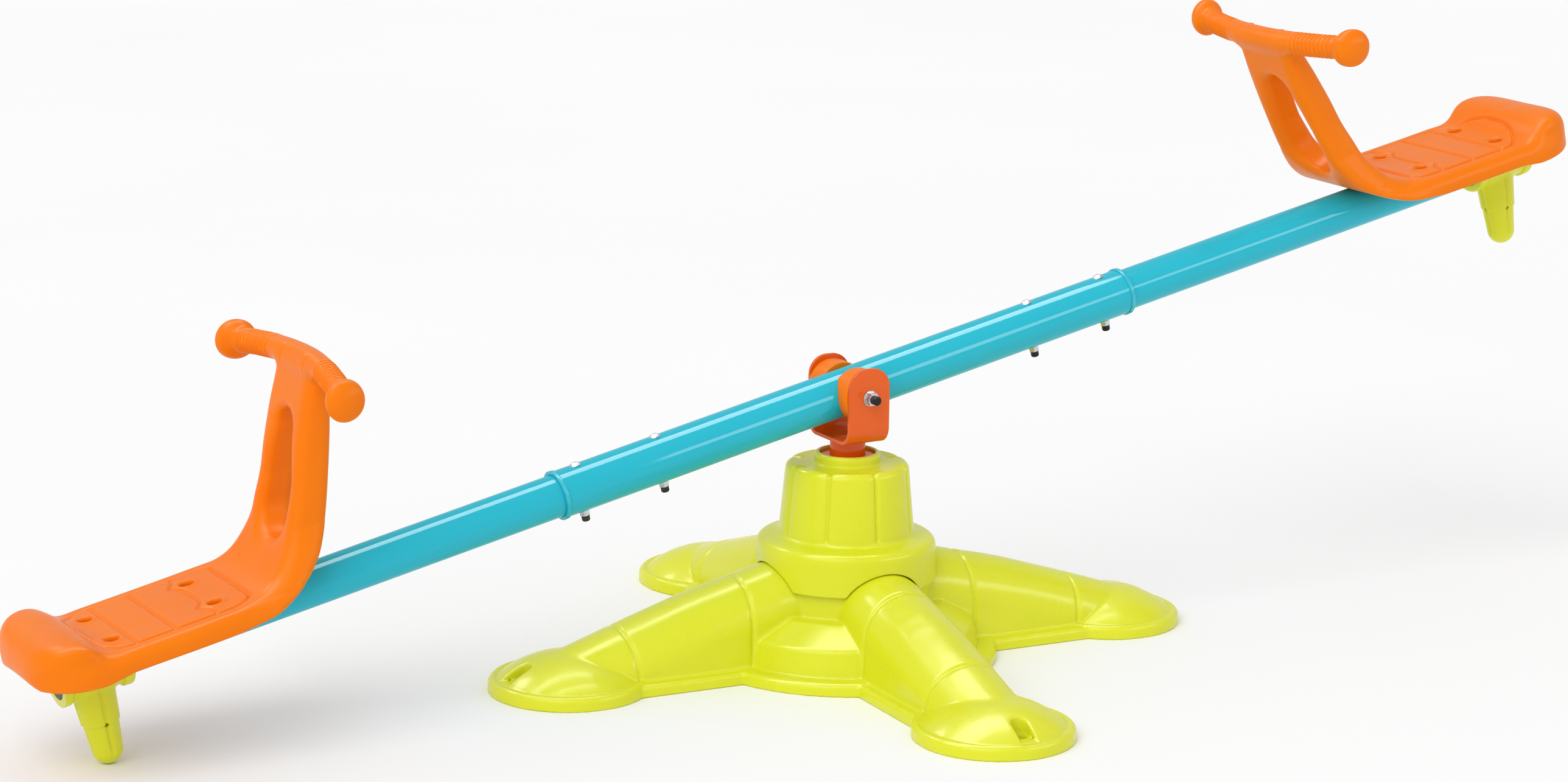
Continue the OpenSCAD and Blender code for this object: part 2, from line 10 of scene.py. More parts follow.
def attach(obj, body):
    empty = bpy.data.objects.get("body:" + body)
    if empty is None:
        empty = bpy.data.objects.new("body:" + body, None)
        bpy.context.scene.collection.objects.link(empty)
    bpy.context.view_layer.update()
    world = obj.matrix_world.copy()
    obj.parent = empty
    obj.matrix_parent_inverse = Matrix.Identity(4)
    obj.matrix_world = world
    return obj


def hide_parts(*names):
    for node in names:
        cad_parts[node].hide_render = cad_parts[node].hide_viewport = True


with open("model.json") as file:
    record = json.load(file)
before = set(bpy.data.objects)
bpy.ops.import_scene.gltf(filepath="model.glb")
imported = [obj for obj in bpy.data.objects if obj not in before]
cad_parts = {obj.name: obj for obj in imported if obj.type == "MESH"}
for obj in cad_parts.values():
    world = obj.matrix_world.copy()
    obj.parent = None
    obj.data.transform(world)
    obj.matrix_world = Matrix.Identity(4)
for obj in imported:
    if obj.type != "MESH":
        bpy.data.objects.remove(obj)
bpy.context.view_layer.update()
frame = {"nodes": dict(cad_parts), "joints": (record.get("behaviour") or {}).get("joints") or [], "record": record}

MM = 0.001

# ------------------------------------------------------------------ driving sizes, in millimetres

TILT_JOINT = next(j for j in frame["joints"] if j["name"] == "tilt")
PIVOT_H = TILT_JOINT["pos_m"][2] / MM
REST_TILT = math.radians(TILT_JOINT["range_deg"][1] / 2)
BASE_TURN = math.radians(-2.71)

# Seats, with s outward along the beam from the pivot, y across it and n up from its middle line
SEAT_HALF_W = 86
SEAT_BOTTOM = 9
SEAT_TOP = 30.5
LIP_CREST = 54
LIP_END = 950
COLUMN_DEPTH = 30
COLUMN_LEAN = 0.34
SLOT_WALL = 9
SLOT_EDGE_R = 13
POCKET_END = 918
BOLT_S = (748, 857)
BOLT_Y = 37
BOLT_R = 3.3
BOLT_POST_R = 12
CUP_R = 6.7
CUP_FLOOR = 17
LUG_R = 13
LUG_TOP = 14.2

# Handlebars
KNOB_Y = 135
KNOB_R = 20.5
BAR_R = 12.6
BAR_END_S = 607
BAR_END_N = 226
GRIP_FROM = 56
GRIP_TO = 118
RIB_PITCH = 5.8
RIB_H = 1.1

# Bumpers
BUMPER_S = 876.5
TIP_R = 15.5
POST_R = 19.4
POST_STEP = -59
SADDLE_R = 28
SADDLE_HALF = 38
SADDLE_TOP = 5
SADDLE_RIB_R = 31
SCREW_AT = (-31, 26)

# Tubes
TUBE_R = 22.5
CENTRE_TUBE_R = 25

# Base and hub cap
MOULD_WALL = 6
FOOT_REACH = 325
FOOT_R = 83.5
FOOT_H = 41
ANCHOR_REACH = 376
LEG_R = 48
SOCKET_R = 29
SOCKET_BOTTOM = 34
SOCKET_TOP = 208.8
HUB_STEP = 140
HUB_TOP = 215.5
HUB_WALL = 5


# ------------------------------------------------------------------ distance fields

def smin(a, b, k):
    """The smaller of two distances, blended over k so that the join is a fillet."""
    h = np.clip(0.5 + 0.5 * (b - a) / k, 0, 1)
    return b + (a - b) * h - k * h * (1 - h)


def smax(a, b, k):
    """The larger of two distances, blended over k so that the edge is rounded."""
    return -smin(-a, -b, k)


def ramp(x, low, high):
    """0 below low, 1 above high, smooth between."""
    t = np.clip((x - low) / (high - low), 0, 1)
    return t * t * (3 - 2 * t)


def ridge(x, width):
    """1 at x = 0, falling to nothing either side."""
    return np.exp(-(x / width) ** 2)


def cubic(a, b, c, d, n=14):
    """Points on a cubic curve from a to d with handles b and c, without the last one."""
    t = np.linspace(0, 1, n, endpoint=False)[:, None]
    a, b, c, d = (np.array(p, float) for p in (a, b, c, d))
    u = 1 - t
    return list(u ** 3 * a + 3 * u * u * t * b + 3 * u * t * t * c + t ** 3 * d)


def through(points, n=6):
    """A smooth curve through the given points."""
    p = np.array([points[0]] + list(points) + [points[-1]], float)
    found = []
    for a, b, c, d in zip(p, p[1:], p[2:], p[3:]):
        found += cubic(b, b + (c - a) / 6, c - (d - b) / 6, c, n)
    return found + [p[-1]]


class Outline:
    """Signed distance to a closed outline, negative inside, sampled once and read between its samples."""

    def __init__(self, points, step=0.8, margin=45):
        points = np.array(points, float)
        self.step = step
        self.low = points.min(0) - margin
        self.size = np.ceil((points.max(0) + margin - self.low) / step).astype(int) + 1
        a = self.low[0] + step * np.arange(self.size[0])[:, None]
        b = self.low[1] + step * np.arange(self.size[1])[None, :]
        nearest = np.full(self.size, 1e9)
        inside = np.zeros(self.size, bool)
        for p, q in zip(points, np.roll(points, -1, 0)):
            d = q - p
            length = d @ d
            if length < 1e-12:
                continue
            t = np.clip(((a - p[0]) * d[0] + (b - p[1]) * d[1]) / length, 0, 1)
            nearest = np.minimum(nearest, (a - p[0] - t * d[0]) ** 2 + (b - p[1] - t * d[1]) ** 2)
            if abs(d[1]) > 1e-12:
                crossing = p[0] + (b - p[1]) * d[0] / d[1]
                inside ^= ((p[1] > b) != (q[1] > b)) & (a < crossing)
        self.table = np.where(inside, -1, 1) * np.sqrt(nearest)

    def __call__(self, a, b):
        a, b = np.broadcast_arrays((a - self.low[0]) / self.step, (b - self.low[1]) / self.step)
        a = np.clip(a, 0, self.size[0] - 1.001)
        b = np.clip(b, 0, self.size[1] - 1.001)
        i, j = a.astype(int), b.astype(int)
        a, b = a - i, b - j
        t = self.table
        return ((t[i, j] * (1 - a) + t[i + 1, j] * a) * (1 - b)
                + (t[i, j + 1] * (1 - a) + t[i + 1, j + 1] * a) * b)


def across(points):
    """A half outline given as [along, across], closed on its other side."""
    points = [np.array(p, float) for p in points]
    return points + [np.array([p[0], -p[1]]) for p in reversed(points)]


# ------------------------------------------------------------------ meshes from fields

def places(low, high, step, fine):
    """Sample places along one axis, closer together where their distance from 0 is within fine's band."""
    found = [low]
    while found[-1] < high:
        near = fine and fine[0] <= abs(found[-1] + step / 2) <= fine[1]
        found.append(found[-1] + (fine[2] if near else step))
    return np.array(found)


def surface_net(values, axes):
    """Points and quads on the zero level of a sampled field, with one point in each cell that it crosses."""
    inside = values < 0
    cells = tuple(n - 1 for n in values.shape)
    window = [slice(0, -1), slice(1, None)]
    count = sum(inside[window[i], window[j], window[k]].astype(np.int8)
                for i in (0, 1) for j in (0, 1) for k in (0, 1))
    active = (count > 0) & (count < 8)
    index = np.argwhere(active)
    number = np.full(cells, -1, np.int64)
    number[active] = np.arange(len(index))
    total = np.zeros((len(index), 3))
    hits = np.zeros(len(index))
    units = np.eye(3, dtype=int)
    for axis in range(3):
        u, v = units[(axis + 1) % 3], units[(axis + 2) % 3]
        for corner in (0 * u, u, v, u + v):
            a = index + corner
            b = a + units[axis]
            fa, fb = values[tuple(a.T)], values[tuple(b.T)]
            crossed = (fa < 0) != (fb < 0)
            t = np.where(crossed, fa / np.where(crossed, fa - fb, 1), 0)
            total += (a + t[:, None] * units[axis]) * crossed[:, None]
            hits += crossed
    total /= hits[:, None]
    points = np.stack([np.interp(total[:, i], np.arange(len(axes[i])), axes[i]) for i in range(3)], 1)
    quads = []
    for axis in range(3):
        across_a, across_b = (axis + 1) % 3, (axis + 2) % 3
        u, v = units[across_a], units[across_b]
        first = np.take(inside, range(0, inside.shape[axis] - 1), axis)
        last = np.take(inside, range(1, inside.shape[axis]), axis)
        at = np.argwhere(first != last)
        at = at[(at[:, across_a] > 0) & (at[:, across_b] > 0)]
        at = at[(at[:, across_a] < cells[across_a]) & (at[:, across_b] < cells[across_b])]
        quad = np.stack([number[tuple((at - d).T)] for d in (u + v, v, 0 * u, u)], 1)
        out = first[tuple(at.T)]
        quads.append(np.where(out[:, None], quad, quad[:, ::-1]))
    return points, np.concatenate(quads)


def settled(points, field, step, rounds=3):
    """Moves points onto the field's zero level, down its gradient."""
    h = 0.2
    for _ in range(rounds):
        x, y, z = points.T
        d = field(x, y, z)
        slope = np.stack([field(x + h, y, z) - field(x - h, y, z), field(x, y + h, z) - field(x, y - h, z),
                          field(x, y, z + h) - field(x, y, z - h)], 1) / (2 * h)
        move = slope * (d / np.maximum((slope ** 2).sum(1), 0.2))[:, None]
        reach = np.linalg.norm(move, axis=1, keepdims=True)
        points = points - move * np.minimum(1, 0.5 * step / np.maximum(reach, 1e-9))
    return points


def moulded(name, field, low, high, step, place, finish, fine_y=None):
    """A mesh object of one field, sampled between two corners and placed by a matrix, all in millimetres."""
    step = step * 1
    axes = [places(a, b, step, fine_y if i == 1 else None) for i, (a, b) in enumerate(zip(low, high))]
    x, y, z = np.ix_(*axes)
    values = np.broadcast_to(field(x, y, z), tuple(len(a) for a in axes)).astype(np.float32)
    points, quads = surface_net(values, axes)
    points = settled(points, field, step)
    turn = np.array(place.to_3x3())
    points = (points @ turn.T + np.array(place.translation)) * MM
    return mesh_object(name, points, quads, finish)


def mesh_object(name, points, faces, finish):
    """A smooth-shaded object with one material, linked into the scene."""
    mesh = bpy.data.meshes.new(name)
    mesh.from_pydata(points.tolist(), [], faces.tolist())
    mesh.shade_smooth()
    mesh.materials.append(finish)
    obj = bpy.data.objects.new(name, mesh)
    bpy.context.scene.collection.objects.link(obj)
    return obj


# ------------------------------------------------------------------ materials

class Nodes:
    """A material's node tree, with short calls for the nodes that the finishes share."""

    def __init__(self, name):
        self.material = bpy.data.materials.new(name)
        self.material.use_nodes = True
        self.tree = self.material.node_tree
        self.shader = self.tree.nodes["Principled BSDF"]
        coords = self.tree.nodes.new("ShaderNodeTexCoord")
        self.place = coords.outputs["Object"]

    def noise(self, scale, detail=3.0, rough=0.5, stretch=None):
        node = self.tree.nodes.new("ShaderNodeTexNoise")
        node.inputs["Scale"].default_value = scale
        node.inputs["Detail"].default_value = detail
        node.inputs["Roughness"].default_value = rough
        source = self.place
        if stretch:
            mapping = self.tree.nodes.new("ShaderNodeMapping")
            mapping.inputs["Rotation"].default_value = (0, REST_TILT, 0)
            mapping.inputs["Scale"].default_value = stretch
            self.tree.links.new(self.place, mapping.inputs["Vector"])
            source = mapping.outputs["Vector"]
        self.tree.links.new(source, node.inputs["Vector"])
        return node.outputs["Fac"]

    def spread(self, value, low, high, out_low, out_high):
        node = self.tree.nodes.new("ShaderNodeMapRange")
        limits = {"From Min": low, "From Max": high, "To Min": out_low, "To Max": out_high}
        for socket, number in limits.items():
            node.inputs[socket].default_value = number
        self.tree.links.new(value, node.inputs["Value"])
        return node.outputs["Result"]

    def add(self, a, b, operation="ADD"):
        node = self.tree.nodes.new("ShaderNodeMath")
        node.operation = operation
        for socket, value in zip(node.inputs, (a, b)):
            if isinstance(value, (int, float)):
                socket.default_value = value
            else:
                self.tree.links.new(value, socket)
        return node.outputs[0]

    def mix(self, factor, a, b):
        node = self.tree.nodes.new("ShaderNodeMix")
        node.data_type = "RGBA"
        self.tree.links.new(factor, node.inputs["Factor"])
        for socket, value in (("A", a), ("B", b)):
            target = next(i for i in node.inputs if i.name == socket and i.type == "RGBA")
            if isinstance(value, tuple):
                target.default_value = (*value, 1)
            else:
                self.tree.links.new(value, target)
        return next(o for o in node.outputs if o.type == "RGBA")

    def bump(self, height, distance, under=None):
        node = self.tree.nodes.new("ShaderNodeBump")
        node.inputs["Strength"].default_value = 1
        node.inputs["Distance"].default_value = distance
        self.tree.links.new(height, node.inputs["Height"])
        if under is not None:
            self.tree.links.new(under, node.inputs["Normal"])
        return node.outputs["Normal"]

    def edges(self):
        """About 0 on flats, towards 1 along convex edges."""
        node = self.tree.nodes.new("ShaderNodeNewGeometry")
        return self.spread(node.outputs["Pointiness"], 0.51, 0.58, 0, 1)

    def set(self, socket, value):
        if isinstance(value, (int, float)):
            self.shader.inputs[socket].default_value = value
        else:
            self.tree.links.new(value, self.shader.inputs[socket])


def shade(color, factor):
    return tuple(min(1, c * factor) for c in color)


def plastic(name, color, deep, pale, roughness, coat=0.0, specular=0.25):
    """Moulded plastic: faint flow clouds, a fine pebble, dulled patches, and edges painted paler, partly as rubbed
    wear and partly as a painted glow of light through the translucent edges.
    """
    n = Nodes(name)
    clouds = n.spread(n.noise(9, 4), 0.3, 0.7, 0, 1)
    tint = n.mix(clouds, deep, color)
    # Paler along convex edges, broken up by noise: partly rubbed wear, partly a painted glow of light shining
    # through the edges
    worn_and_glowing_edges = n.add(n.edges(), n.spread(n.noise(60, 4), 0.45, 0.7, 0, 1), "MULTIPLY")
    n.set("Base Color", n.mix(worn_and_glowing_edges, tint, pale))
    patches = n.spread(n.noise(22, 5, 0.6), 0.3, 0.7, roughness - 0.05, roughness + 0.07)
    scuffs = n.spread(n.noise(180, 6, 0.7, (1, 6, 1)), 0.58, 0.7, 0, 0.1)
    n.set("Roughness", n.add(patches, scuffs))
    waves = n.bump(n.noise(26, 2), 0.0012)
    n.set("Normal", n.bump(n.noise(900, 2), 0.00003, waves))
    n.set("Coat Weight", coat)
    n.set("Coat Roughness", 0.12)
    n.set("Specular IOR Level", specular)
    return n.material


def paint(name, color, deep, roughness):
    """Powder coat on steel: orange peel, soft cloudiness and fine scratches along the tube."""
    n = Nodes(name)
    clouds = n.spread(n.noise(7, 3), 0.3, 0.7, 0, 1)
    n.set("Base Color", n.mix(clouds, deep, color))
    scratches = n.spread(n.noise(120, 5, 0.6, (0.08, 4, 4)), 0.6, 0.72, 0, 0.14)
    patches = n.spread(n.noise(35, 4), 0.3, 0.7, roughness - 0.03, roughness + 0.04)
    n.set("Roughness", n.add(patches, scratches))
    n.set("Normal", n.bump(n.noise(420, 2), 0.00004))
    n.set("Specular IOR Level", 0.0)
    n.set("Coat Weight", 0.65)
    n.set("Coat IOR", 1.5)
    n.set("Coat Roughness", 0.05)
    return n.material


def steel(name, color, roughness):
    """Zinc plate: a faint spangle, dulled patches and a turned grain."""
    n = Nodes(name)
    clouds = n.spread(n.noise(160, 4), 0.35, 0.65, 0, 1)
    n.set("Base Color", n.mix(clouds, shade(color, 0.8), color))
    n.set("Metallic", 1.0)
    n.set("Roughness", n.spread(n.noise(300, 4), 0.3, 0.7, roughness - 0.06, roughness + 0.1))
    n.set("Normal", n.bump(n.noise(1500, 3), 0.00002))
    return n.material


def floor_finish():
    n = Nodes("floor_white")
    clouds = n.spread(n.noise(0.8, 3), 0.3, 0.7, 0, 1)
    n.set("Base Color", n.mix(clouds, (0.93, 0.93, 0.935), (0.95, 0.95, 0.95)))
    n.set("Roughness", n.spread(n.noise(6, 3), 0.3, 0.7, 0.8, 0.9))
    n.set("Specular IOR Level", 0.1)
    return n.material


BLUE = (0.014, 0.47, 0.60)
# Each plastic's third colour goes on its convex edges: rubbed wear, and a painted glow of light through the edges
FINISH = {
    "lime_plastic": plastic("lime_plastic", (0.725, 0.74, 0.022), (0.695, 0.72, 0.014), (0.80, 0.82, 0.14),
                            roughness=0.28, coat=0.18),
    "orange_plastic": plastic("orange_plastic", (0.89, 0.20, 0.002), (0.86, 0.184, 0.001),
                              (0.93, 0.30, 0.03), roughness=0.32, specular=0.12),
    "blue_paint": paint("blue_paint", BLUE, (0.012, 0.45, 0.58), 0.24),
    "blue_plastic": plastic("blue_plastic", BLUE, (0.012, 0.44, 0.57), (0.12, 0.60, 0.72),
                            roughness=0.3, coat=0.2),
    "fork_paint": paint("fork_paint", (0.80, 0.118, 0.008), (0.77, 0.105, 0.006), 0.28),
    "zinc_steel": steel("zinc_steel", (0.66, 0.68, 0.70), 0.28),
    "black_plastic": plastic("black_plastic", (0.012, 0.012, 0.013), (0.009, 0.009, 0.01),
                             (0.05, 0.05, 0.05), roughness=0.35),
    "nylon": plastic("nylon", (0.76, 0.74, 0.68), (0.72, 0.70, 0.63), (0.85, 0.84, 0.80), roughness=0.42),
}


# ------------------------------------------------------------------ where things go

BEAM = Matrix.Translation((0, 0, PIVOT_H)) @ Matrix.Rotation(-REST_TILT, 4, "Y")
ENDS = {"right": BEAM, "left": BEAM @ Matrix.Rotation(math.pi, 4, "Z")}
BASE = Matrix.Rotation(BASE_TURN, 4, "Z")


def fit(obj, body, slot, *nodes):
    """Makes a piece ride on its body in place of its CAD nodes."""
    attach(obj, body)
    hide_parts(*nodes)


# ------------------------------------------------------------------ seats

def seat_sides():
    """The seat seen from the side: its outside, and the same with the pan left open below."""
    heel = through([(860, SEAT_BOTTOM), (790, SEAT_BOTTOM - 0.4), (750, SEAT_BOTTOM), (724, 11), (705, 13),
                    (686, 18), (670, 25), (656, 33), (645.5, 41.5), (636, 52), (627, 66), (619, 83),
                    (605.5, 121), (590.5, 171), (581, 212), (577.5, 226)])
    rest = (through([(603, 226), (608, 212), (619, 188), (626.5, 170), (636, 145), (645, 118), (656, 93),
                     (661.5, 80), (668.5, 67), (684, 47.5), (701, 37), (717, 33), (740, 31),
                     (790, SEAT_TOP), (856, SEAT_TOP)])
            + cubic((856, SEAT_TOP), (884, SEAT_TOP), (878, LIP_CREST), (910, LIP_CREST))
            + cubic((910, LIP_CREST), (926, LIP_CREST), (LIP_END - 4, 48), (LIP_END, 31)))
    whole = cubic((LIP_END, 31), (LIP_END, 23), (946, 14), (938, SEAT_BOTTOM + 1)) + heel + rest
    opened = [(LIP_END, -40), (732, -40)] + [p for p in heel if p[0] < 728] + rest
    return Outline(whole), Outline(opened)


SIDE, SIDE_OPEN = seat_sides()
PLAN = Outline(across([(540, SEAT_HALF_W), (885, SEAT_HALF_W)]
                      + cubic((885, SEAT_HALF_W), (930, SEAT_HALF_W), (LIP_END + 1, 57), (LIP_END + 1, 0))))
PANEL = Outline(across([(716, 54)] + cubic((716, 54), (724, 62), (730, 66), (742, 66))
                       + cubic((846, 66), (864, 66), (884, 44), (884, 0))))
# Half width of the pan and the column at some heights
WIDTH_AT = ((-50, 86), (16, 86), (22, 84), (27, 80), (30.5, 76), (40, 70), (60, 62), (80, 55.5), (120, 51.5),
            (170, 48), (212, 46), (260, 45))


def seat_body(s, y, n, side):
    """Outside of the pan, lip and column, from its side view. The lip drops a little towards its ends."""
    wide = np.abs(y)
    lip = ramp(s, 850, 885)
    shape = side(s - lip * 0.0006 * y * y, n + lip * 3.5 * (wide / 80) ** 4)
    heights, widths = zip(*WIDTH_AT)
    half = np.interp(n, heights, widths)
    half = half + (SEAT_HALF_W - half) * ramp(s, 695, 745)
    edge_r = 3 + 8 * ramp(n, 13, 22) + 4 * ramp(-s, -735, -690) - 3 * ramp(s, 875, 900)
    shape = smax(shape, wide - half, edge_r)
    return smax(shape, PLAN(s, y), 3 + 13 * ramp(n, 14, 36))


# Grooves straight across the panel
CROSS_GROOVES = (842, 801, 717)


def seat_panel(s, y, n):
    """How far the pan's top is cut back: grooves round and across a panel that stands a little proud."""
    edge = PANEL(s, y)
    within = ramp(-edge, -0.5, 2)
    wavy = 757 + 9 * ridge(np.abs(y) - 38, 10)
    lines = sum(ridge(s - place, 2.0) for place in CROSS_GROOVES) + ridge(s - wavy, 1.8)
    cut = 2.4 * np.minimum(lines, 1) * within + 2.2 * ridge(edge, 1.7) - 0.9 * within
    return cut * ramp(n, 22, 27) * ramp(s, 695, 712)


# Half width of the column's slot at some heights
SLOT_HALF_AT = ((86, 30), (115, 29), (140, 24.5), (164, 18.5))


def slot_field(s, y, n):
    """Distance to the upright slot through the column, wider at the bottom and on the pivot's side."""
    middle = 641 - (n - 84) * COLUMN_LEAN
    depth = np.clip(0.5 + (middle - s) / COLUMN_DEPTH, 0, 1)
    centre = np.clip(n, 92 - 6 * depth, 164 - 8 * depth)
    half = np.interp(centre, *zip(*SLOT_HALF_AT)) + 2 * depth
    return (np.hypot(y, n - centre) - half) * 0.95


def bar_field(s, y, n, near_drop, middle):
    """The curved handlebar with its ribbed grips, two small nubs and flat-ended knobs. It passes through
    middle, given as (s, n), and its end on the +y side drops by near_drop."""
    t = y / KNOB_Y
    centre_s = middle[0] + (BAR_END_S - middle[0]) * t * t
    centre_n = middle[1] + (BAR_END_N - middle[1]) * t * t - near_drop * ramp(t, 0.1, 1.05)
    wide = np.abs(y)
    grip = ramp(wide, GRIP_FROM, GRIP_FROM + 4) * ramp(-wide, -GRIP_TO, 3 - GRIP_TO)
    relief = grip * (RIB_H * np.cos(wide * (2 * math.pi / RIB_PITCH)) - 0.6)
    relief = relief + 1.3 * ridge(wide - 28, 1.6) * ramp(s - centre_s, 3, 8)
    radial = np.hypot(s - centre_s, n - centre_n)
    bar = np.maximum(radial - (BAR_R + relief), wide - KNOB_Y)
    out = wide - KNOB_Y
    core = np.hypot(np.maximum(radial - (KNOB_R - 8.5), 0), np.maximum(np.abs(out) - 2.2, 0)) - 8.5
    crown = np.hypot(radial, out + 22) - 32.5
    return smin(bar, smax(core, crown, 2), 6)


def seat_field(near_drop, middle):
    """Field of a hollow seat with its handlebar, a pocket for the tube and four bolt places over lugs."""
    def field(s, y, n):
        outside = seat_body(s, y, n, SIDE)
        slot = slot_field(s, y, n)
        bolts = [np.hypot(s - place, np.abs(y) - BOLT_Y) for place in BOLT_S]
        hollow = np.maximum(seat_body(s, y, n, SIDE_OPEN) + MOULD_WALL, SLOT_WALL - slot)
        for radial in bolts:
            hollow = np.maximum(hollow, BOLT_POST_R - radial)
        shape = smax(outside, -slot, SLOT_EDGE_R)
        shape = smin(shape, bar_field(s, y, n, near_drop, middle), 8)
        shape = shape + seat_panel(s, y, n)
        shape = smax(shape, -hollow, 1.5)
        shape = np.maximum(shape, -np.maximum(np.hypot(y, n) - (TUBE_R + 0.6), s - POCKET_END))
        for radial in bolts:
            rim = 1.2 * ridge(radial - 10, 2.2) * ramp(n, 22, 27)
            shape = smax(shape - rim, -np.maximum(radial - CUP_R, CUP_FLOOR - n), 3.2)
            shape = np.maximum(shape, BOLT_R - radial)
            shape = np.maximum(shape, np.minimum(LUG_TOP - n, LUG_R - radial))
        return shape
    return field


def make_seats():
    """Both seats. The left handlebar sits a little differently and droops at its near end."""
    droop = {"left": 9, "right": 0}
    middle = {"left": (589, 229), "right": (586, 225.5)}
    for side, place in ENDS.items():
        field = seat_field(droop[side], middle[side])
        seat = moulded("seat_shell_" + side, field, (560, -162, 4), (956, 162, 250), 1.8, place,
                       FINISH["orange_plastic"], fine_y=(GRIP_FROM - 2, GRIP_TO + 1, 1.0))
        fit(seat, "beam", "orange_plastic", "seat_" + side)


# ------------------------------------------------------------------ bumpers

def bumper_field(s, y, n):
    """A tapered post with a round tip and four grooves, under a saddle with a rib at each end."""
    s = s - BUMPER_S
    tip_n = (TIP_R - PIVOT_H + BUMPER_S * math.sin(REST_TILT)) / math.cos(REST_TILT)
    radial = np.hypot(s, y)
    upper = np.maximum(radial - (POST_R + (n - POST_STEP) * 0.075), POST_STEP - n)
    t = np.clip((n - tip_n) / (POST_STEP - tip_n), 0, 1)
    taper = np.hypot(radial, n - (tip_n + t * (POST_STEP - tip_n))) - (TIP_R + 2.6 * t)
    lower = np.maximum(taper, n - POST_STEP)
    post = smin(upper, lower, 1.2)
    nearest = np.minimum(np.abs(s), np.abs(y))
    groove = ridge(nearest, 1.9) * ramp(radial, 8, 13) * ramp(n, tip_n - 8, tip_n + 4)
    post = post + 2.2 * groove
    around = np.hypot(y, n)
    top = n - SADDLE_TOP
    saddle = smax(smax(around - SADDLE_R, np.abs(s) - SADDLE_HALF, 2.5), top, 1.5)
    rib = smax(smax(around - SADDLE_RIB_R, np.abs(np.abs(s) - 32.5) - 5.5, 2.5), top, 1.5)
    shape = smin(smin(saddle, rib, 3), smax(post, n + 14, 1), 3.5)
    shape = smax(shape, top, 1.2)
    shape = np.maximum(shape, np.maximum(TUBE_R + 0.15 - around, s - 35.8))
    for place in SCREW_AT:
        hole = np.hypot(s - place, y)
        shape = np.maximum(shape, -np.maximum(hole - 4.6, n + 29))
        shape = np.maximum(shape, 2.1 - hole)
    return shape


def make_bumpers():
    for side, place in ENDS.items():
        bumper = moulded("bumper_" + side + "_moulded", bumper_field, (832, -36, -106), (920, 36, 8), 0.9,
                         place, FINISH["lime_plastic"])
        fit(bumper, "beam", "lime_plastic", "bumper_" + side)


# ------------------------------------------------------------------ base

def arc(centre, radius, start, end, n=6):
    """Points along an arc, with its angles in degrees."""
    angles = np.radians(np.linspace(start, end, n))
    return [(centre[0] + radius * math.cos(a), centre[1] + radius * math.sin(a)) for a in angles]


DRUM = Outline([(-60, -60), (164, -60), (164, 8)] + arc((157.5, 7.5), 6.5, 10, 88) + [(144, 14)]
               + arc((130, 36), 8.5, 5, 55) + arc((103.5, 58), 3.2, 58, 86) + [(93, 61.4)]
               + arc((93, 64.4), 3, 270, 180, 4) + [(90, 91), (-60, 91)])
# Height of a leg's ridge at some distances from the middle
RIDGE_AT = ((60, 116), (100, 110), (125, 103.5), (175, 91.5), (200, 84.5), (225, 76.6), (250, 68.7),
            (275, 60.6), (300, 52.3), (325, 44), (360, 32))
# Where each cross groove of a leg starts at the bottom, and how far outward it has leant at the top
LEG_GROOVES = ((134, -1), (264, 13))


def ridge_height(u):
    """Height of a leg's ridge at a distance u from the middle."""
    return np.interp(u, *zip(*RIDGE_AT))


def foot_field(u, v, z):
    """Round foot: a rounded rim round a dome, with a shallow groove between them."""
    radial = np.hypot(u - FOOT_REACH, v)
    rim = np.hypot(np.maximum(radial - (FOOT_R - 7), 0), np.maximum(z - 8.5, 0)) - 7
    edge_r, edge_z = FOOT_R - 9, 14
    rise = FOOT_H - edge_z
    dome_r = (edge_r ** 2 + rise ** 2) / (2 * rise)
    dome = smax(np.hypot(radial, z - (FOOT_H - dome_r)) - dome_r, radial - edge_r, 1.5)
    foot = np.minimum(rim, dome)
    return foot + 1.8 * ridge(radial - edge_r - 0.8, 1.7)


def anchor_cut(u, v, z):
    """The anchor recess, a slot towards the rim over a round pit, and the hole below it."""
    slot = np.maximum(np.hypot(u - np.maximum(u, ANCHOR_REACH), v) - 9, 15.2 - z)
    pit = np.maximum(np.hypot(u - ANCHOR_REACH, v) - 8, 6 - z)
    hole = np.hypot(u - ANCHOR_REACH, v) - 4.5
    return smin(slot, pit, 1), hole


def leg_field(u, v, z):
    """One leg with upright sides under a round top, two cross grooves, and a flange along its bottom."""
    centre = ridge_height(u) - (LEG_R + 0.2)
    half = LEG_R + 3.5 * ramp(centre - z, 0, 60)
    top = (np.hypot(v, np.maximum(z - centre, 0)) - half) * 0.97
    leg = np.maximum(top, u - (FOOT_REACH + 30))
    up = ramp(z, 10, 110)
    for start, lean in LEG_GROOVES:
        leg = leg + 2.3 * ridge(u - (start + lean * up), 2.2)
    flange = np.hypot(np.maximum(v - 57, 0), np.maximum(z - 8, 0)) - 5
    flange = np.maximum(flange, u - (FOOT_REACH - 20))
    return smin(leg, flange, 4)


def base_outside(x, y, z):
    """Outside of the base, with the distances along and across the nearest leg."""
    u = np.maximum(np.abs(x), np.abs(y))
    v = np.minimum(np.abs(x), np.abs(y))
    drum = DRUM(np.hypot(x, y), z)
    leg = leg_field(u, v, z)
    foot = foot_field(u, v, z)
    return smin(smin(drum, leg, 3), foot, 1.8), u, v


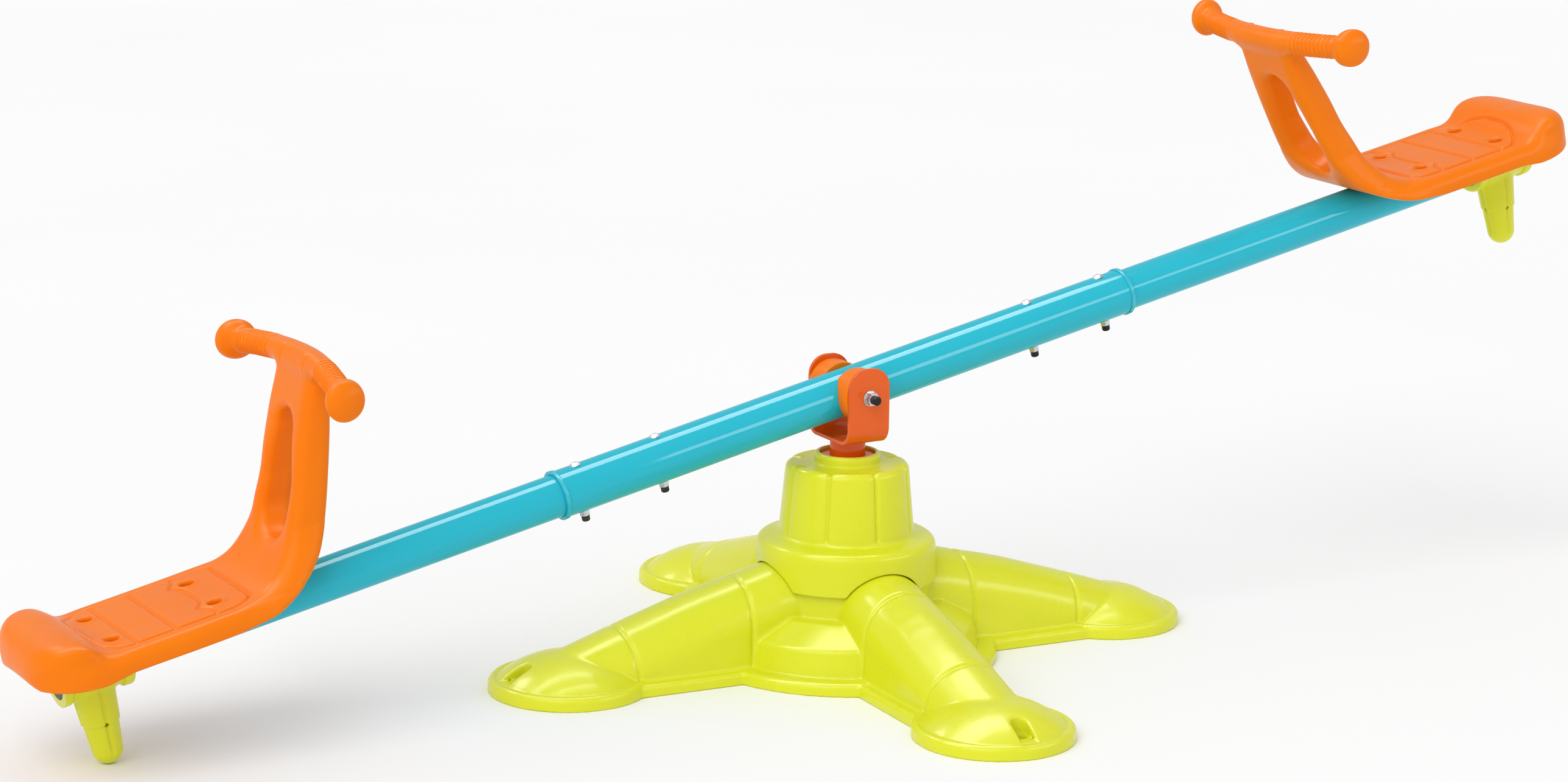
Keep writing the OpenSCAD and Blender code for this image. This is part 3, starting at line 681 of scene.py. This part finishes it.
def base_field(x, y, z):
    """The base's shell, open below, with its bearing socket, ribs and anchor bosses."""
    outside, u, v = base_outside(x, y, z)
    radial = np.hypot(x, y)
    ribs = np.maximum(np.maximum(v - 1.6, 38 - z), u - 290)
    bosses = np.hypot(u - ANCHOR_REACH, v) - 14
    socket = np.maximum(radial - SOCKET_R, SOCKET_BOTTOM - z)
    hollow = np.maximum(outside + MOULD_WALL, -np.minimum(np.minimum(ribs, bosses), socket))
    slot, hole = anchor_cut(u, v, z)
    shape = smax(outside, -slot, 2.2)
    shape = np.maximum(shape, -hollow)
    shape = np.maximum(shape, -hole)
    shape = np.minimum(shape, np.maximum(socket, z - SOCKET_TOP))
    shape = np.maximum(shape, 23 - radial)
    return np.maximum(shape, -z)


def make_base():
    reach = FOOT_REACH + FOOT_R + 3
    base = moulded("base_moulding", base_field, (-reach, -reach, -3), (reach, reach, 120), 2.0, BASE,
                   FINISH["lime_plastic"])
    fit(base, "base", "lime_plastic", "base_body")


# ------------------------------------------------------------------ hub cap

HUB = Outline([(-60, 60), (97, 60), (96.3, 122)] + arc((87, 124.5), 9, 8, 82) + [(76, 136), (72.5, 138.5)]
              + arc((57.5, HUB_TOP - 10.2), 8.8, 6, 76)
              + [(50, HUB_TOP - 3), (38, HUB_TOP - 2.6), (35.4, HUB_TOP - 1)]
              + arc((31.8, 221.3), 3.4, 0, 90) + [(-60, 224.7)])


def hub_outside(x, y, z):
    """Stepped cap with eight upright grooves and soft lobes between them."""
    radial = np.hypot(x, y)
    turn = np.arctan2(y, x)
    away = np.abs((turn + math.pi / 8) % (math.pi / 4) - math.pi / 8)
    sideways = radial * np.sin(away)
    shape = HUB(radial, z)
    upper = ramp(z, HUB_STEP - 3, HUB_STEP + 3)
    lobes = upper * ramp(radial, 44, 58)
    return shape + lobes * (2.6 * ridge(sideways, 2.1) + 0.7 * ridge(sideways, 7))


def hub_field(x, y, z):
    """The cap's shell, open below, with an arch over each leg and a bore for the socket and the riser."""
    radial = np.hypot(x, y)
    u = np.maximum(np.abs(x), np.abs(y))
    v = np.minimum(np.abs(x), np.abs(y))
    outside = smax(hub_outside(x, y, z), 87.5 - z, 2)
    hollow = np.maximum(hub_outside(x, y, z) + HUB_WALL, SOCKET_R + 0.5 - radial)
    hollow = np.minimum(hollow, np.maximum(radial - 90.5, z - 91))
    shape = np.maximum(outside, -np.maximum(hollow, z - 205))
    arch = np.hypot(v, z - (ridge_height(u) - (LEG_R + 1.5))) - (LEG_R + 2.2)
    shape = smax(shape, -np.maximum(arch, 60 - u), 1.5)
    shape = smax(shape, -np.maximum(radial - 30, 213 - z), 1.2)
    return np.maximum(shape, 23.6 - radial)


def make_hub():
    hub = moulded("hub_cap_moulded", hub_field, (-101, -101, 80), (101, 101, 228), 1.3, BASE,
                  FINISH["lime_plastic"])
    fit(hub, "base", "lime_plastic", "hub_cap")


# ------------------------------------------------------------------ pivot spacers

def spacer_field(x, y, z):
    """Round block between an ear and the tube, hollowed to fit the tube and softly edged."""
    radial = np.hypot(x, z)
    wide = np.abs(y)
    block = smax(smax(radial - 27.5, wide - 39.6, 3), 13.8 - wide, 1)
    waist = 0.5 * ridge(wide - 37, 0.9)
    around = np.hypot(y, z)
    return np.maximum(np.maximum(block + waist, CENTRE_TUBE_R + 0.05 - around), 6.05 - radial)


def make_spacers():
    for side, sign in (("near", -1), ("far", 1)):
        low, high = sorted((sign * 12, sign * 41))
        spacer = moulded("pivot_block_" + side, spacer_field, (-30, low, -30), (30, high, 30), 0.8, BEAM,
                         FINISH["orange_plastic"])
        fit(spacer, "beam", "orange_plastic", "pivot_spacer_" + side)


# ------------------------------------------------------------------ carried-over CAD nodes

def finish_cad_nodes():
    """Gives every CAD node its procedural finish, and softens the edges of the bent and cut metal."""
    slots = {p["node"]: p["material_slot"] for p in frame["record"]["subparts"]}
    for name, obj in frame["nodes"].items():
        obj.data.materials.clear()
        obj.data.materials.append(FINISH[slots[name]])
    rounding = {"fork": 0.6, "thrust_flange": 0.6, "joint_collar_left": 0.5, "joint_collar_right": 0.5}
    for name, width in rounding.items():
        soften(frame["nodes"][name], width)


def soften(obj, width):
    """Joins the facets and bevels the sharp edges by a width in millimetres."""
    weld = obj.modifiers.new("weld", "WELD")
    weld.merge_threshold = 0.00002
    bevel = obj.modifiers.new("bevel", "BEVEL")
    bevel.width = width * MM
    bevel.segments = 2
    bevel.limit_method = "ANGLE"
    bevel.angle_limit = math.radians(38)
    bevel.harden_normals = True


# ------------------------------------------------------------------ studio

def make_floor():
    size = 60
    corners = np.array([(-size, -size, 0), (size, -size, 0), (size, size, 0), (-size, size, 0)], float)
    floor = mesh_object("studio_floor", corners, np.array([[0, 1, 2, 3]]), floor_finish())


def softbox(name, place, target, width, length, radiance):
    """A panel that is only seen in reflections, so that the gloss has something to show."""
    data = bpy.data.lights.new(name, "AREA")
    data.shape = "RECTANGLE"
    data.size = width
    data.size_y = length
    data.energy = radiance * math.pi * width * length
    light = bpy.data.objects.new(name, data)
    light.location = place
    light.rotation_euler = (Vector(target) - Vector(place)).to_track_quat("-Z", "Y").to_euler()
    light.visible_diffuse = False
    light.visible_camera = False
    bpy.context.scene.collection.objects.link(light)


def make_lights():
    """Plain white surroundings, one very soft key from the left, and panels for the highlights."""
    world = bpy.data.worlds.new("studio_world")
    world.use_nodes = True
    background = world.node_tree.nodes["Background"]
    background.inputs["Color"].default_value = (1, 1, 1, 1)
    background.inputs["Strength"].default_value = 0.74
    bpy.context.scene.world = world
    sun = bpy.data.lights.new("soft_key", "SUN")
    sun.energy = 1.3
    sun.angle = math.radians(50)
    key = bpy.data.objects.new("soft_key", sun)
    key.rotation_euler = Vector((0.8, 0.55, -1)).to_track_quat("-Z", "Y").to_euler()
    bpy.context.scene.collection.objects.link(key)
    softbox("overhead_panel", (-0.9, 0.6, 3.0), (-0.9, 0, 0.3), 4.2, 1.2, 9.0)
    softbox("front_panel", (1.65, -2.0, 1.25), (0.4, 0, 0.35), 2.2, 0.5, 5.0)
    softbox("back_window", (-1.4, 2.6, 2.9), (0, 0, 0.1), 0.9, 0.7, 12)


CAMERA_AZIMUTH, CAMERA_ELEVATION, CAMERA_ROLL = -0.52025, 0.22474, -0.01473
CAMERA_DISTANCE = 4.36385
CAMERA_TARGET = (-0.07913, 0, 0.29777)
CAMERA_LENS = 95.17


def make_camera():
    """The camera stands in front and to the left, a little above the beam, and rolls very slightly."""
    azimuth, elevation, roll = CAMERA_AZIMUTH, CAMERA_ELEVATION, CAMERA_ROLL
    back = Vector((math.sin(azimuth) * math.cos(elevation), -math.cos(azimuth) * math.cos(elevation),
                   math.sin(elevation)))
    right = (-back).cross(Vector((0, 0, 1))).normalized()
    up = right.cross(-back)
    side = math.cos(roll) * right - math.sin(roll) * up
    top = math.sin(roll) * right + math.cos(roll) * up
    data = bpy.data.cameras.new("camera")
    data.lens = CAMERA_LENS
    data.sensor_width = 36
    camera = bpy.data.objects.new("camera", data)
    camera.matrix_world = Matrix((side, top, back)).transposed().to_4x4()
    camera.matrix_world.translation = Vector(CAMERA_TARGET) + back * CAMERA_DISTANCE
    bpy.context.scene.collection.objects.link(camera)
    bpy.context.scene.camera = camera


# ------------------------------------------------------------------ the whole scene

bpy.context.scene.view_settings.view_transform = "Standard"
finish_cad_nodes()
make_seats()
make_bumpers()
make_base()
make_hub()
make_spacers()
make_floor()
make_lights()
make_camera()
